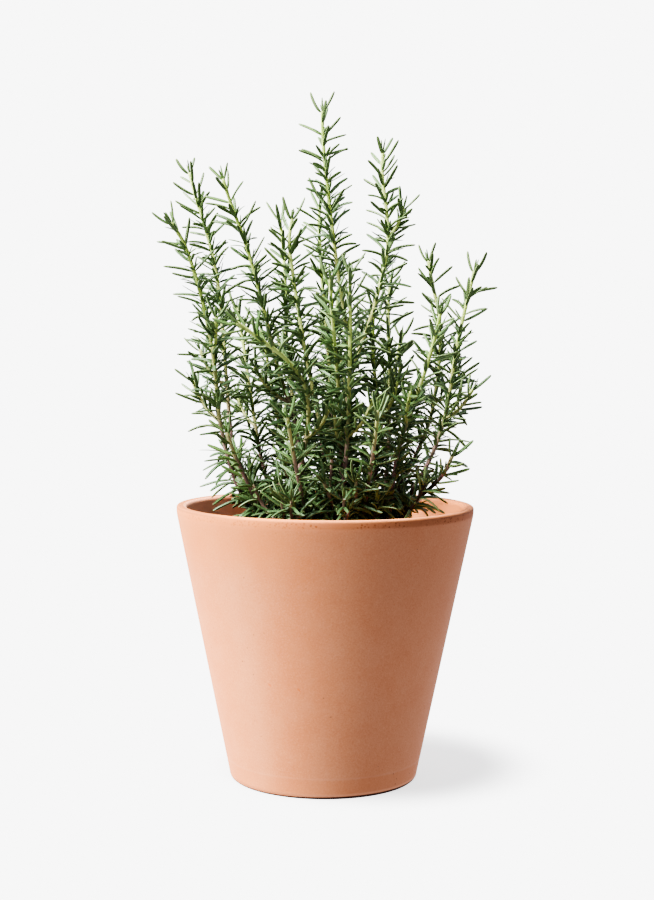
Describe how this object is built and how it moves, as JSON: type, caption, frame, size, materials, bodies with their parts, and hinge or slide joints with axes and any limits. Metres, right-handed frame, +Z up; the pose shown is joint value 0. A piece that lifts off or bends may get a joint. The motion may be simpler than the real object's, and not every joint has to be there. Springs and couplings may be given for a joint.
{
  "type": "potted rosemary plant",
  "caption": "Upright rosemary bush of slender leafy stems with opposite needle leaves, growing from dark soil in a plain conical terracotta pot.",
  "frame": {"origin": "centre of the pot's foot, on the surface that it stands on, on the pot's axis", "axes": "+Z up along the pot's axis, -Y towards the front of the bush, +X to its right"},
  "size_m": [0.2732, 0.24, 0.5547],
  "materials": {
    "terracotta": "unglazed fired clay, matte, finely grained",
    "compost": "moist dark crumbs, matte",
    "rosemary_leaf": "living green needles, dark and satin above, pale below"
  },
  "bodies": {
    "root": {"pot": "terracotta", "soil": "compost", "stem_left_front": "rosemary_leaf", "stem_left_back": "rosemary_leaf", "stem_left_middle": "rosemary_leaf", "stem_front_slanting": "rosemary_leaf", "stem_back_left_short": "rosemary_leaf", "stem_middle_left": "rosemary_leaf", "stem_back_left_tall": "rosemary_leaf", "stem_tallest": "rosemary_leaf", "stem_back_middle": "rosemary_leaf", "stem_front_middle": "rosemary_leaf", "stem_front_centre": "rosemary_leaf", "stem_right_tall": "rosemary_leaf", "stem_back_right": "rosemary_leaf", "stem_right_middle": "rosemary_leaf", "stem_right_back": "rosemary_leaf", "stem_right_front": "rosemary_leaf", "stem_right_outer": "rosemary_leaf", "stem_right_low": "rosemary_leaf", "stem_rear_left": "rosemary_leaf", "stem_rear_middle": "rosemary_leaf", "stem_rear_right": "rosemary_leaf", "stem_left_low": "rosemary_leaf", "stem_front_low": "rosemary_leaf", "stem_front_low_right": "rosemary_leaf"}
  },
  "joints": []
}
